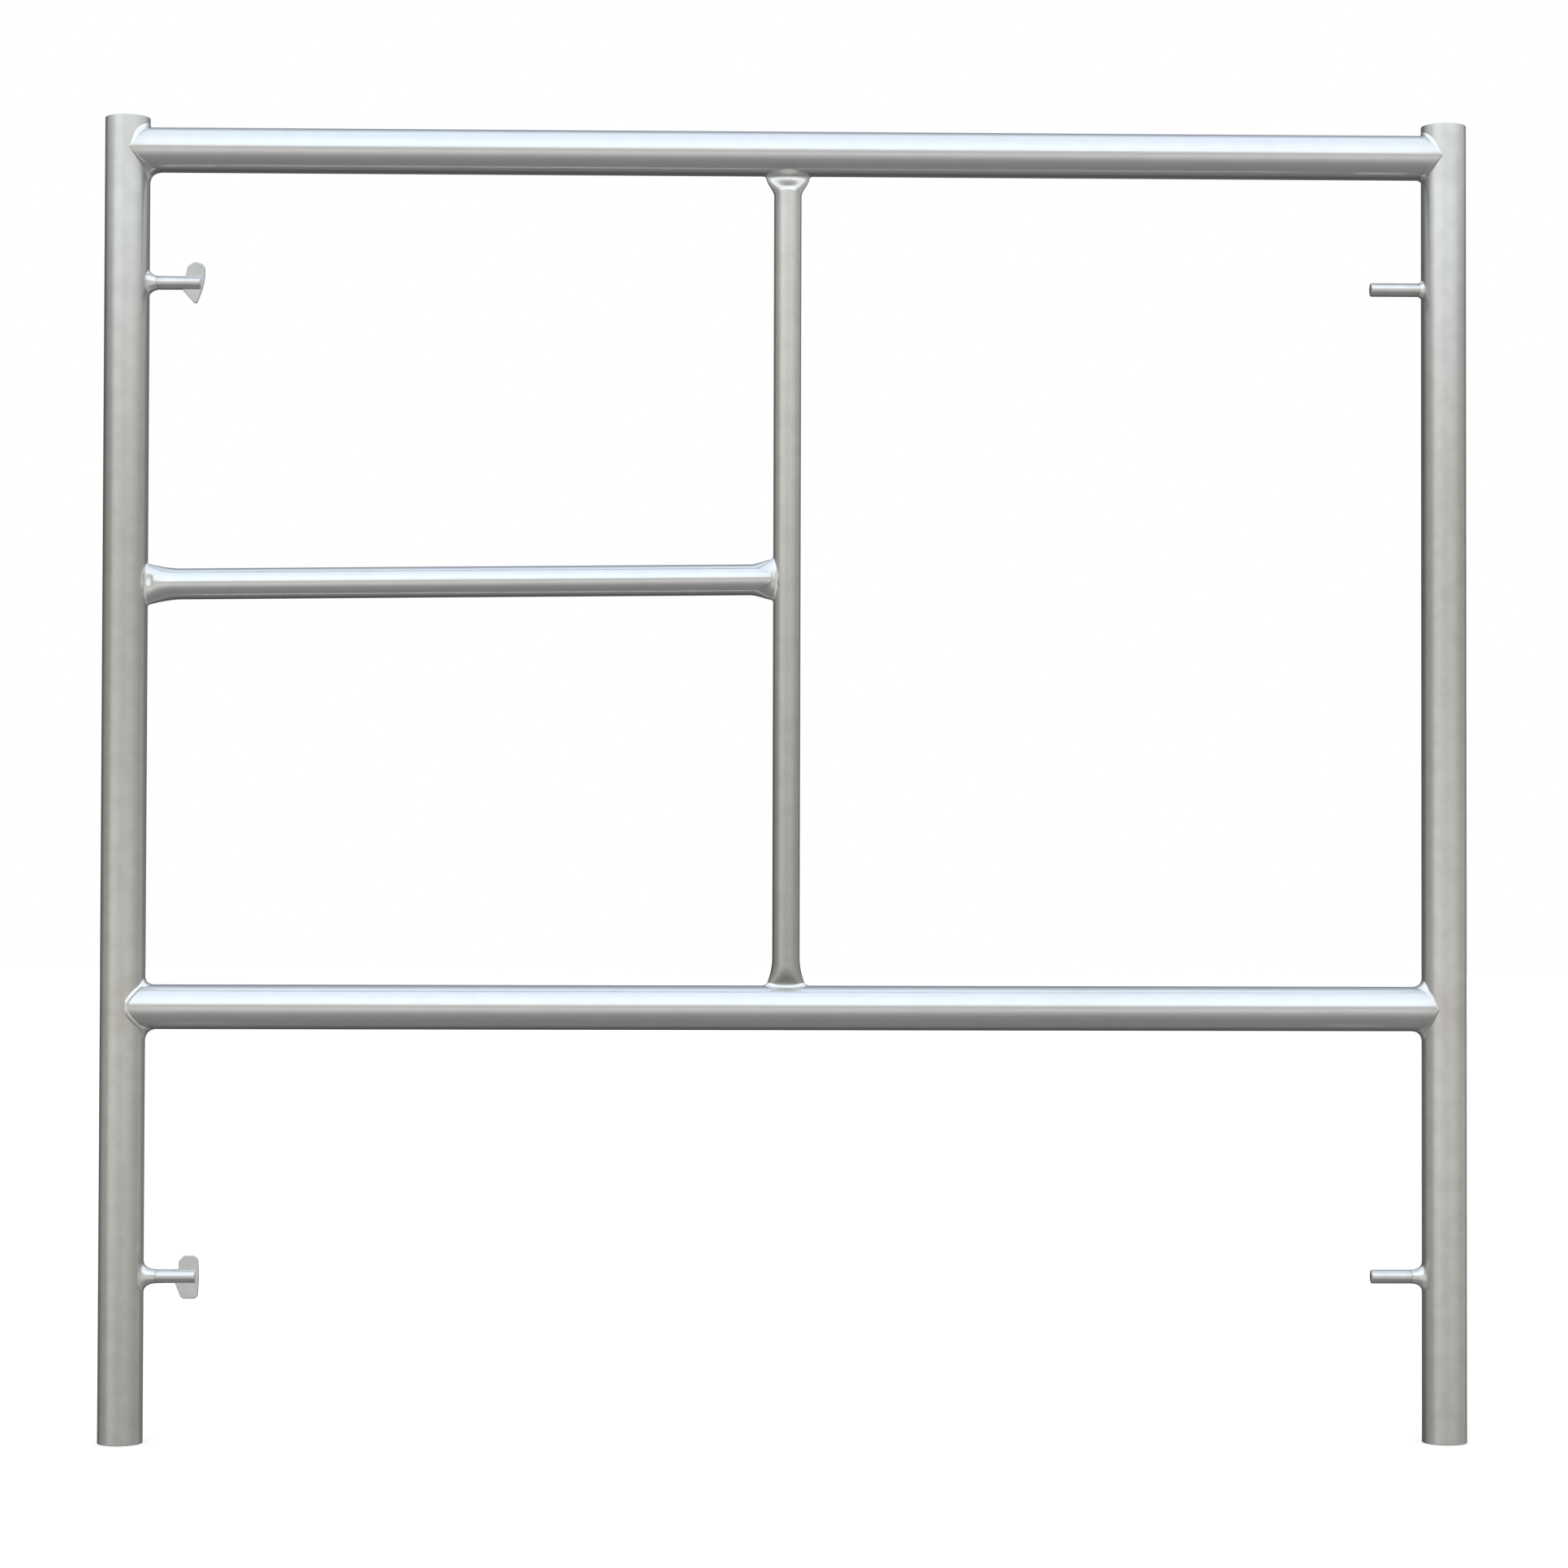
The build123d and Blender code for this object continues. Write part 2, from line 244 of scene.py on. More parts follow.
def weldMaterial(look=weldLook):
    # reads the bead's own "across" and "wave": 0 in a ripple's valley, 1 on its crest
    material = bpy.data.materials.new("weldSteel")
    material.use_nodes = True
    maker = Maker(material.node_tree)
    coords = maker.node("ShaderNodeTexCoord", {}, {}, 3)
    wave = maker.node("ShaderNodeAttribute", {"attribute_name": "wave"}, {}, 2)
    side = maker.node("ShaderNodeAttribute", {"attribute_name": "across"}, {}, 2)
    spatter = stretched(maker, coords, 420, (1, 1, 1), 4, 0.6)
    patch = stretched(maker, coords, 90, (1, 1, 1), 3, 0.5, 4.2)
    toe = abs(side).ramp(0.86, 0.99)
    # painted shade darkens the ripples' valleys; the noise patches are duller spots at random
    valleyShadeAndDull = wave.ramp(0.55, 0.05) * 0.08 + patch.ramp(0.5, 0.75) * 0.20
    color = maker.blend(valleyShadeAndDull, look["color"], look["dullColor"])
    # painted shade: a dark line in the crease along the bead's edges
    color = maker.blend(toe * 0.36, color, look["toeShadeColor"])
    roughness = look["roughness"] + (spatter - 0.5) * 0.12 + toe * 0.15
    bump = maker.node("ShaderNodeBump", {}, {"Strength": 0.06, "Distance": 0.0004, "Height": spatter})
    inputs = {"Base Color": color, "Metallic": 1.0, "Roughness": roughness, "Normal": bump}
    shader = maker.node("ShaderNodeBsdfPrincipled", {}, inputs)
    maker.node("ShaderNodeOutputMaterial", {}, {0: shader})
    return material


lockLook = {
    "color": (0.80, 0.80, 0.80, 1),
    "dullColor": (0.58, 0.585, 0.59, 1),
    "wornColor": (0.90, 0.90, 0.90, 1),
    "roughness": 0.34,
}


def lockMaterial(name, look=lockLook):
    # zinc plate with a fine sheared face, duller patches and bright worn edges
    material = bpy.data.materials.new(name)
    material.use_nodes = True
    maker = Maker(material.node_tree)
    coords = maker.node("ShaderNodeTexCoord", {}, {}, 3)
    flecks = stretched(maker, coords, 900, (1, 0.25, 0.4), 4, 0.6)
    patch = stretched(maker, coords, 110, (1, 1, 1), 3, 0.5, 2.2)
    edges = maker.node("ShaderNodeNewGeometry", {}, {}, 7)
    worn = edges.ramp(0.50, 0.56) * flecks.ramp(0.35, 0.60)
    color = maker.blend(patch.ramp(0.35, 0.75) * 0.35, look["color"], look["dullColor"])
    color = maker.blend(flecks.ramp(0.50, 0.75) * 0.25, color, look["dullColor"])
    color = maker.blend(worn * 0.7, color, look["wornColor"])
    roughness = look["roughness"] + (flecks - 0.5) * 0.20 - worn * 0.08
    bump = maker.node("ShaderNodeBump", {}, {"Strength": 0.10, "Distance": 0.0003, "Height": flecks})
    inputs = {"Base Color": color, "Metallic": 1.0, "Roughness": roughness, "Normal": bump}
    shader = maker.node("ShaderNodeBsdfPrincipled", {}, inputs)
    maker.node("ShaderNodeOutputMaterial", {}, {0: shader})
    return material


corners = [Vector((side * legX, 0, height)) for side in (-1, 1) for height in (headerZ, ledgerZ)]
cornerHeat = [(place, tubeRadius * 1.9) for place in corners]
studHeat = [(Vector((side * (legX - tubeRadius), 0, height)), studRadius * 3.2)
            for side in (-1, 1) for height in (upperStudZ, lowerStudZ)]
postHeat = [(Vector((postX, 0, ledgerZ + tubeRadius)), postRadius * 1.9),
            (Vector((postX, 0, headerZ - tubeRadius)), postRadius * 1.9)]
rungHeat = [(Vector((-legX + tubeRadius, 0, rungZ)), rungRadius * 1.8),
            (Vector((postX - postRadius, 0, rungZ)), rungRadius * 1.8)]
uprightGrain, levelGrain = (1, 1, 0.02), (0.02, 1, 1)
legSteel = {
    "left_leg": steelMaterial("leftLegSteel", uprightGrain, cornerHeat + studHeat + rungHeat[:1], legLook),
    "right_leg": steelMaterial("rightLegSteel", uprightGrain, cornerHeat + studHeat, rightLegLitLook),
}
crossSteel = steelMaterial("crossSteel", levelGrain, cornerHeat + postHeat, crossLook)
postSteel = steelMaterial("postSteel", uprightGrain, postHeat + rungHeat[1:], postLitLook)
rungSteel = steelMaterial("rungSteel", levelGrain, rungHeat, crossLook)
studSteel = steelMaterial("studSteel", levelGrain, studHeat)
weldSteel = weldMaterial()
lockZinc = lockMaterial("lockZinc")
rivetSteel = lockMaterial("rivetSteel")
print("finishes made")


# Meshes.

def shadeEdges(work, sharpAngle):
    # smooth shading, with open edges and every edge sharper than the angle left crisp
    for face in work.faces:
        face.smooth = True
    for edge in work.edges:
        edge.smooth = len(edge.link_faces) == 2 and edge.calc_face_angle() < math.radians(sharpAngle)


def newPiece(name, points, faces, material, sharpAngle=40):
    mesh = bpy.data.meshes.new(name)
    mesh.from_pydata([tuple(point) for point in points], [], faces)
    work = bmesh.new()
    work.from_mesh(mesh)
    bmesh.ops.recalc_face_normals(work, faces=work.faces)
    shadeEdges(work, sharpAngle)
    work.to_mesh(mesh)
    work.free()
    mesh.materials.append(material)
    piece = bpy.data.objects.new(name, mesh)
    bpy.context.scene.collection.objects.link(piece)
    return piece


def ringFaces(ringCount, around):
    # quads between rings of points, with the last ring joined to the first
    faces = []
    for ring in range(ringCount):
        here, there = ring * around, (ring + 1) % ringCount * around
        for step in range(around):
            following = (step + 1) % around
            faces.append((here + step, here + following, there + following, there + step))
    return faces


def loftPiece(name, rings, material, sharpAngle=40):
    # a closed wall: the rings run out along the outside and back along the inside
    points = [point for ring in rings for point in ring]
    return newPiece(name, points, ringFaces(len(rings), len(rings[0])), material, sharpAngle)


def seat(piece, node):
    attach(piece, "frame")
    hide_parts(node)


def evaluatedMesh(piece):
    depsgraph = bpy.context.evaluated_depsgraph_get()
    return bpy.data.meshes.new_from_object(piece.evaluated_get(depsgraph))


# Legs: a rounded wall section swept round a circle, by Geometry Nodes.

legShape = {
    "wall": 2.4 * mm,
    "rim": 0.7 * mm,
    "segments": 128,
    "sharpAngle": 35,
}


def legTree():
    tree = bpy.data.node_groups.new("openTube", "GeometryNodeTree")
    sockets = tree.interface
    for name, kind in (("Radius", "Float"), ("Wall", "Float"), ("Length", "Float"), ("Rim", "Float"),
                       ("Segments", "Int"), ("Place", "Vector"), ("Material", "Material")):
        sockets.new_socket(name, in_out="INPUT", socket_type="NodeSocket" + kind)
    sockets.new_socket("Geometry", in_out="OUTPUT", socket_type="NodeSocketGeometry")
    maker = Maker(tree)
    given = tree.nodes.new("NodeGroupInput")
    radius, wall, length, rim, segments, place, finish = [Wire(maker, given.outputs[i]) for i in range(7)]
    inputs = {"Resolution": segments, "Radius": radius - wall * 0.5}
    circle = maker.node("GeometryNodeCurvePrimitiveCircle", {}, inputs)
    section = maker.node("GeometryNodeCurvePrimitiveQuadrilateral", {}, {"Width": wall, "Height": length})
    inputs = {"Curve": section, "Count": 4, "Radius": rim}
    section = maker.node("GeometryNodeFilletCurve", {"mode": "POLY"}, inputs)
    swept = maker.node("GeometryNodeCurveToMesh", {}, {"Curve": circle, "Profile Curve": section})
    moved = maker.node("GeometryNodeTransform", {}, {"Geometry": swept, "Translation": place})
    whole = maker.node("GeometryNodeRealizeInstances", {}, {"Geometry": moved})
    done = maker.node("GeometryNodeSetMaterial", {}, {"Geometry": whole, "Material": finish})
    maker.node("NodeGroupOutput", {}, {"Geometry": done})
    return tree


def runTree(piece, tree, values):
    # sets a Geometry Nodes modifier's inputs by identifier, then turns the result into a plain mesh
    modifier = piece.modifiers.new("shape", "NODES")
    modifier.node_group = tree
    for item in tree.interface.items_tree:
        if item.in_out == "INPUT" and item.name in values:
            modifier[item.identifier] = values[item.name]
    mesh = evaluatedMesh(piece)
    piece.modifiers.remove(modifier)
    piece.data = mesh


def makeLeg(node, material, shape=legShape):
    mesh = bpy.data.meshes.new(node + "Tube")
    piece = bpy.data.objects.new(node + "Tube", mesh)
    bpy.context.scene.collection.objects.link(piece)
    values = {"Radius": tubeRadius, "Wall": shape["wall"], "Length": legHeight, "Rim": shape["rim"],
              "Segments": shape["segments"], "Place": middleOf(node), "Material": material}
    runTree(piece, openTube, values)
    work = bmesh.new()
    work.from_mesh(piece.data)
    shadeEdges(work, shape["sharpAngle"])
    work.to_mesh(piece.data)
    work.free()
    seat(piece, node)


openTube = legTree()
for legName in ("left_leg", "right_leg"):
    makeLeg(legName, legSteel[legName])
print("legs made")


# Joints: a branch tube or bar of oval section runs out from the axis of a round mate.

def joint(center, mateAxis, out, wide, halfWide, halfFlat, mateRadius, power=2.0, blunt=0.0, rounded=False):
    # blunt is how far the branch's tips are drawn back from the mate's axis, and rounded makes them round
    return {"center": center, "mateAxis": mateAxis, "out": out, "wide": wide, "flat": out.cross(wide),
            "halfWide": halfWide, "halfFlat": halfFlat, "mateRadius": mateRadius, "power": power,
            "blunt": blunt, "rounded": rounded}


def squared(value, power):
    # squares off a cosine or sine: a power of 2 leaves it round
    return math.copysign(abs(value) ** (2 / power), value)


def sectionPoint(joined, angle, halfWide=None, halfFlat=None, power=None):
    power = power or joined["power"]
    wide = squared(math.cos(angle), power) * (halfWide or joined["halfWide"])
    flat = squared(math.sin(angle), power) * (halfFlat or joined["halfFlat"])
    return joined["wide"] * wide + joined["flat"] * flat


def reachOf(joined, offset):
    # how far out along the branch this line of it meets the mate's round, or its own blunt tip
    aside = joined["mateAxis"].cross(joined["out"])
    coped = max(joined["mateRadius"] ** 2 - offset.dot(aside) ** 2, 0) ** 0.5
    if joined["rounded"]:
        return (coped ** 3 + joined["blunt"] ** 3) ** (1 / 3)  # a soft maximum of the two
    return joined["blunt"] + coped * (1 - joined["blunt"] / joined["mateRadius"])


def seamPoint(joined, angle):
    offset = sectionPoint(joined, angle)
    return joined["center"] + offset + joined["out"] * reachOf(joined, offset)


def seamFrame(joined, angle):
    # the seam's point, and the unit ways away from it: off the mate, off the branch, along each of them
    nudge = 0.004
    spot = seamPoint(joined, angle)
    along = (seamPoint(joined, angle + nudge) - seamPoint(joined, angle - nudge)).normalized()
    rim = (sectionPoint(joined, angle + nudge) - sectionPoint(joined, angle - nudge)).normalized()
    offBranch = rim.cross(joined["out"])
    if offBranch.dot(sectionPoint(joined, angle)) < 0:
        offBranch = -offBranch
    fromAxis = spot - joined["center"]
    offMate = (fromAxis - joined["mateAxis"] * fromAxis.dot(joined["mateAxis"])).normalized()
    overMate = along.cross(offMate).normalized()
    if overMate.dot(offBranch) < 0:
        overMate = -overMate
    overBranch = along.cross(offBranch).normalized()
    if overBranch.dot(joined["out"]) < 0:
        overBranch = -overBranch
    return spot, offMate, offBranch, overMate, overBranch


def ontoMate(joined, point):
    # the nearest point on the mate's round
    fromAxis = point - joined["center"]
    alongAxis = joined["mateAxis"] * fromAxis.dot(joined["mateAxis"])
    return joined["center"] + alongAxis + (fromAxis - alongAxis).normalized() * joined["mateRadius"]


def between(stops, share):
    # eased values between stops of (share, value, value, ...)
    for first, second in zip(stops, stops[1:]):
        if share <= second[0]:
            part = (share - first[0]) / (second[0] - first[0])
            part = part * part * (3 - 2 * part)
            return [a + (b - a) * part for a, b in zip(first[1:], second[1:])]
    return stops[-1][1:]


# Weld beads: a strip laid along the seam, then rippled by Geometry Nodes.

def rippleTree():
    tree = bpy.data.node_groups.new("weldRipples", "GeometryNodeTree")
    sockets = tree.interface
    sockets.new_socket("Geometry", in_out="INPUT", socket_type="NodeSocketGeometry")
    for name, kind in (("Pitch", "Float"), ("Depth", "Float"), ("Bow", "Float"), ("Lumps", "Float"),
                       ("Lump Size", "Float"), ("Seed", "Float"), ("Material", "Material")):
        sockets.new_socket(name, in_out="INPUT", socket_type="NodeSocket" + kind)
    sockets.new_socket("Geometry", in_out="OUTPUT", socket_type="NodeSocketGeometry")
    maker = Maker(tree)
    given = tree.nodes.new("NodeGroupInput")
    bead, pitch, depth, bow, lumps, lumpSize, seed, finish = [Wire(maker, given.outputs[i]) for i in range(8)]
    attribute = "GeometryNodeInputNamedAttribute"
    along = maker.node(attribute, {"data_type": "FLOAT"}, {0: "along"})
    side = maker.node(attribute, {"data_type": "FLOAT"}, {0: "across"})
    outward = maker.node(attribute, {"data_type": "FLOAT_VECTOR"}, {0: "outward"})
    place = maker.node("GeometryNodeInputPosition", {}, {})
    inputs = {"Vector": place, "W": seed, "Scale": 1.0 / lumpSize, "Detail": 2.0}
    noise = maker.node("ShaderNodeTexNoise", {"noise_dimensions": "4D"}, inputs)
    crest = abs(((along / pitch + side * side * bow + noise * 0.8) * math.pi).sine())
    body = 1.0 - side * side
    lift = body * (crest * depth + (noise - 0.5) * lumps)
    push = maker.node("ShaderNodeVectorMath", {"operation": "SCALE"}, {0: outward, 3: lift})
    moved = maker.node("GeometryNodeSetPosition", {}, {"Geometry": bead, "Offset": push})
    inputs = {"Geometry": moved, "Name": "wave", "Value": crest}
    waved = maker.node("GeometryNodeStoreNamedAttribute", {"data_type": "FLOAT", "domain": "POINT"}, inputs)
    whole = maker.node("GeometryNodeRealizeInstances", {}, {"Geometry": waved})
    done = maker.node("GeometryNodeSetMaterial", {}, {"Geometry": whole, "Material": finish})
    maker.node("NodeGroupOutput", {}, {"Geometry": done})
    return tree


weldRipples = rippleTree()
beadShape = {
    "stations": 480,
    "arcSteps": 12,
    "under": 1.4 * mm,  # how deep the bead's hidden root lies
    "toeDepth": 0.35 * mm,
    "pitch": 2.1 * mm,
    "depth": 0.028 * mm,
    "bow": 0.55,
    "lumps": 0.30 * mm,
    "lumpSize": 11 * mm,
    "sharpAngle": 50,
}


def makeBead(node, joined, sizes, seed, shape=beadShape, toe=None):
    # sizes gives, by angle, the reach over the mate and the branch, the fill and the crown;
    # toe gives the bead's far edge where the branch isn't straight
    steps = shape["arcSteps"]
    points, along, sides, outward = [], [], [], []
    travelled = 0.0
    last = None
    for station in range(shape["stations"]):
        angle = 2 * math.pi * station / shape["stations"]
        spot, offMate, offBranch, overMate, overBranch = seamFrame(joined, angle)
        travelled += (spot - last).length if last else 0.0
        last = spot
        mateReach, branchReach, fill, crown = sizes(angle)
        away = (offMate + offBranch).normalized()
        start = ontoMate(joined, spot + overMate * mateReach)
        end = toe(angle) if toe else spot + overBranch * branchReach
        middle = (start + end) / 2
        control = spot.lerp(middle, fill) + away * crown * 2
        ring = []
        for step in range(steps + 1):
            part = step / steps
            ring.append(start.lerp(control, part).lerp(control.lerp(end, part), part))
        ring.append(end - offBranch * shape["toeDepth"])
        ring.append(spot - away * shape["under"])
        ring.append(start - offMate * shape["toeDepth"])
        points += ring
        for step in range(steps + 1):
            sides.append(2 * step / steps - 1)
        sides += [1.0, 1.0, -1.0]  # the hidden toes and root
        along += [travelled] * len(ring)
        outward += [away] * len(ring)
    faces = ringFaces(shape["stations"], len(ring))
    piece = newPiece(node + "Bead", points, faces, weldSteel, shape["sharpAngle"])
    mesh = piece.data
    mesh.attributes.new("along", "FLOAT", "POINT").data.foreach_set("value", along)
    mesh.attributes.new("across", "FLOAT", "POINT").data.foreach_set("value", sides)
    flat = [part for vector in outward for part in vector]
    mesh.attributes.new("outward", "FLOAT_VECTOR", "POINT").data.foreach_set("vector", flat)
    whole = round(travelled / shape["pitch"])
    values = {"Pitch": travelled / whole, "Depth": shape["depth"], "Bow": shape["bow"],
              "Lumps": shape["lumps"], "Lump Size": shape["lumpSize"], "Seed": seed, "Material": weldSteel}
    runTree(piece, weldRipples, values)
    seat(piece, node)


def scaled(mate, branch, fill, crown):
    # a bead's sizes, given in mm
    return mate * mm, branch * mm, fill, crown * mm


def saddleSizes(upper, lower):
    # stops run from the seam's tip, on the tubes' front, to its crotch above or below
    def sizes(angle):
        height = math.cos(angle)
        share = math.degrees(math.asin(min(abs(height), 1))) / 90
        return scaled(*between(upper if height > 0 else lower, share))
    return sizes


saddleWelds = {  # stops of share, reach up the leg, reach along the cross tube, fill and crown
    "header_left_weld": {
        "upper": [(0, 0.6, 0.4, 1, 0.1), (0.45, 5.6, 0.5, 0.9, 0.3),
                  (0.85, 4.0, 0.5, 0.9, 0.2), (1, 1.5, 0.5, 0.8, 0.1)],
        "lower": [(0, 0.6, 0.6, 1, 0.1), (0.35, 0.8, 1.6, 1, 0.4),
                  (0.55, 1.5, 4.0, 0.8, 0.4), (1, 11, 11, 0.06, 0)],
    },
    "header_right_weld": {
        "upper": [(0, 0.6, 0.4, 1, 0.1), (0.5, 3.6, 0.5, 1, 0.3),
                  (0.85, 3.2, 0.5, 0.9, 0.2), (1, 1.5, 0.5, 0.8, 0.1)],
        "lower": [(0, 0.6, 0.6, 1, 0.1), (0.5, 1.2, 3.4, 0.9, 0.4),
                  (0.85, 1.6, 3.0, 0.8, 0.2), (1, 3, 3, 0.4, 0)],
    },
    "ledger_left_weld": {
        "upper": [(0, 2.4, 1.6, 1, 0.6), (0.6, 3.2, 1.4, 1, 0.6), (1, 7, 8, 0.06, 0)],
        "lower": [(0, 2.4, 1.6, 1, 0.6), (0.6, 2.6, 1.4, 1, 0.5), (1, 11, 10, 0.06, 0)],
    },
    "ledger_right_weld": {
        "upper": [(0, 0.6, 0.6, 1, 0.1), (0.5, 1.5, 1.0, 1, 0.3), (1, 8, 9, 0.06, 0)],
        "lower": [(0, 0.6, 0.6, 1, 0.1), (0.5, 1.2, 1.6, 1, 0.3), (1, 10, 10, 0.06, 0)],
    },
}


bluntTips = {  # by side: how far the end's tips are drawn back, and whether they are round
    "header_tube": {-1: (4.5 * mm, False), 1: (5.0 * mm, False)},
    "lower_ledger": {-1: (7.0 * mm, True), 1: (9.5 * mm, False)},
}


def tubeJoint(side, tube):
    center = Vector((side * legX, 0, middleOf(tube).z))
    blunt, rounded = bluntTips[tube][side]
    return joint(center, up, across * -side, up, tubeRadius, tubeRadius, tubeRadius, 2.0, blunt, rounded)


def makeSaddleWelds():
    for seed, (node, rows) in enumerate(saddleWelds.items()):
        tube = "header_tube" if "header" in node else "lower_ledger"
        joined = tubeJoint(-1 if "left" in node else 1, tube)
        makeBead(node, joined, saddleSizes(rows["upper"], rows["lower"]), seed)


makeSaddleWelds()
print("saddle welds made")


# Header and ledger: round tubes with both ends coped to the legs.

crossShape = {
    "wall": 2.4 * mm,
    "around": 128,
    "spans": 24,
}


def makeCrossTube(node, material, shape=crossShape):
    joints = [tubeJoint(-1, node), tubeJoint(1, node)]
    rings = []
    for radius, order in ((tubeRadius, 1), (tubeRadius - shape["wall"], -1)):
        wall = []
        for span in range(shape["spans"] + 1):
            share = span / shape["spans"]
            ring = []
            for step in range(shape["around"]):
                angle = 2 * math.pi * step / shape["around"]
                offset = Vector((0, radius * math.cos(angle), radius * math.sin(angle)))
                first = joints[0]["center"] + offset + across * reachOf(joints[0], offset)
                last = joints[1]["center"] + offset - across * reachOf(joints[1], offset)
                ring.append(first.lerp(last, share))
            wall.append(ring)
        rings += wall[::order]
    seat(loftPiece(node + "Tube", rings, material), node)


makeCrossTube("header_tube", crossSteel)
makeCrossTube("lower_ledger", crossSteel)
print("cross tubes made")


# Post and rung: round tubes whose ends are pressed wide and thin, and coped.

crimpShape = {
    "wall": 2.0 * mm,
    "around": 96,
    "flareSteps": 28,
    "embed": 0.2 * mm,
    "squareness": 2.2,  # 2 is an oval section
    "land": 0.10,  # the pressed end's flat stretch, as a share of its flare
    "bend": 0.85,
    "dimple": {"along": 0.16, "reach": 0.12, "aside": 0.25, "width": 0.35},
    "sharpAngle": 60,
}
barEnds = {  # the pressed end's half width and half thickness, its flare's length and hollowness, its dimple
    "postTop": (20.0 * mm, 6.0 * mm, 20 * mm, 0.0, 0.0),
    "postBottom": (18.5 * mm, 6.0 * mm, 26 * mm, 1.0, 0.0),
    "rungLeft": (19.25 * mm, 8.5 * mm, 32 * mm, 0.9, 1.5 * mm),
    "rungRight": (19.25 * mm, 8.5 * mm, 23 * mm, 0.5, 0.5 * mm),
}
rungRise = 7 * mm  # from the leg's axis to the post's


def barPoint(joined, end, radius, angle, share, wall, shape):
    # a point on the bar's surface, share of the way along the flare from its coped end
    flare, hollow, depth = barEnds[end][2:]
    dimple = shape["dimple"]
    part = min(max((share - shape["land"]) / shape["bend"], 0), 1)
    pressed = (1 - part * part * (3 - 2 * part)) * (1 - hollow) + (1 - share) ** 2 * hollow
    halfWide = radius + (joined["halfWide"] - radius) * pressed - wall
    halfFlat = radius + (joined["halfFlat"] - radius) * pressed - wall
    power = 2 + (shape["squareness"] - 2) * pressed
    offset = sectionPoint(joined, angle, halfWide, halfFlat, power)
    flat = offset.dot(joined["flat"]) / halfFlat
    along = (share - dimple["along"]) / dimple["reach"]
    aside = (offset.dot(joined["wide"]) / halfWide - dimple["aside"]) / dimple["width"]
    offset -= joined["flat"] * depth * math.exp(-along ** 2 - aside ** 2) * flat
    reach = reachOf(joined, offset) - shape["embed"] + share * flare
    return joined["center"] + offset + joined["out"] * reach


def crimpEnd(joined, radius, end, wall, shape):
    # rings from the coped end to the round part
    angles = [2 * math.pi * corner / shape["around"] for corner in range(shape["around"])]
    rings = []
    for step in range(shape["flareSteps"] + 1):
        share = step / shape["flareSteps"]
        rings.append([barPoint(joined, end, radius, angle, share, wall, shape) for angle in angles])
    return rings


def makeCrimpedTube(node, joints, ends, radius, material, shape=crimpShape):
    # the two joints face each other with the same wide way
    walls = []
    for wall in (0.0, shape["wall"]):
        first = crimpEnd(joints[0], radius, ends[0], wall, shape)
        second = crimpEnd(joints[1], radius, ends[1], wall, shape)
        second = [[ring[-corner] for corner in range(len(ring))] for ring in second[::-1]]
        walls.append(first + second)
    seat(loftPiece(node + "Tube", walls[0] + walls[1][::-1], material, shape["sharpAngle"]), node)


def barJoint(end, center, mateAxis, out, wide, mateRadius):
    halfWide, halfFlat = barEnds[end][:2]
    return joint(center, mateAxis, out, wide, halfWide, halfFlat, mateRadius, crimpShape["squareness"])


rungWay = Vector((legX + postX, 0, rungRise)).normalized()
rungWide = rungWay.cross(through)
rungWide = rungWide if rungWide.z > 0 else -rungWide
postJoints = [
    barJoint("postBottom", Vector((postX, 0, ledgerZ)), across, up, across, tubeRadius),
    barJoint("postTop", Vector((postX, 0, headerZ)), across, -up, across, tubeRadius),
]
rungJoints = [
    barJoint("rungLeft", Vector((-legX, 0, rungZ - rungRise / 2)), up, rungWay, rungWide, tubeRadius),
    barJoint("rungRight", Vector((postX, 0, rungZ + rungRise / 2)), up, -rungWay, rungWide, postRadius),
]
makeCrimpedTube("center_post", postJoints, ("postBottom", "postTop"), postRadius, postSteel)
makeCrimpedTube("side_rung", rungJoints, ("rungLeft", "rungRight"), rungRadius, rungSteel)

ringWelds = {  # joint, bar end, bar radius, the bead's reach over the mate and the bar, fill and crown, seed
    "post_top_weld": (postJoints[1], "postTop", postRadius, scaled(4.2, 3.2, 0.10, 0.0), 11),
    "post_bottom_weld": (postJoints[0], "postBottom", postRadius, scaled(2.6, 3.0, 0.35, 0.2), 12),
    "rung_left_weld": (rungJoints[0], "rungLeft", rungRadius, scaled(1.4, 1.6, 0.4, 0.1), 13),
    "rung_right_weld": (rungJoints[1], "rungRight", rungRadius, scaled(1.8, 2.0, 0.3, 0.0), 14),
}


def makeRingWelds():
    for node, (joined, end, radius, sizes, seed) in ringWelds.items():
        share = sizes[1] / barEnds[end][2]

        def barToe(angle):
            return barPoint(joined, end, radius, angle, share, 0.0, crimpShape)

        makeBead(node, joined, lambda angle: sizes, seed, toe=barToe)


makeRingWelds()
print("post and rung made")


def studJoint(side, height):
    center = Vector((side * legX, 0, height))
    return joint(center, up, across * -side, up, studRadius, studRadius, tubeRadius)


studWelds = {  # side, height, the bead's reach over the leg and the stud, fill and crown, seed
    "upper_left_stud_weld": (-1, upperStudZ, scaled(5.5, 8.0, 0.35, 0.2), 21),
    "lower_left_stud_weld": (-1, lowerStudZ, scaled(8.0, 12.5, 0.12, 0.0), 22),
    "upper_right_stud_weld": (1, upperStudZ, scaled(2.4, 3.0, 0.5, 0.2), 23),
    "lower_right_stud_weld": (1, lowerStudZ, scaled(7.5, 11.5, 0.06, 0.0), 24),
}


def makeStudWelds():
    for node, (side, height, sizes, seed) in studWelds.items():
        makeBead(node, studJoint(side, height), lambda angle: sizes, seed)


makeStudWelds()
print("stud welds made")


# The studs, locks and rivets keep their CAD meshes.

def dress(nodes, material):
    for node in nodes:
        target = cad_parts[node].data
        target.materials.clear()
        target.materials.append(material)


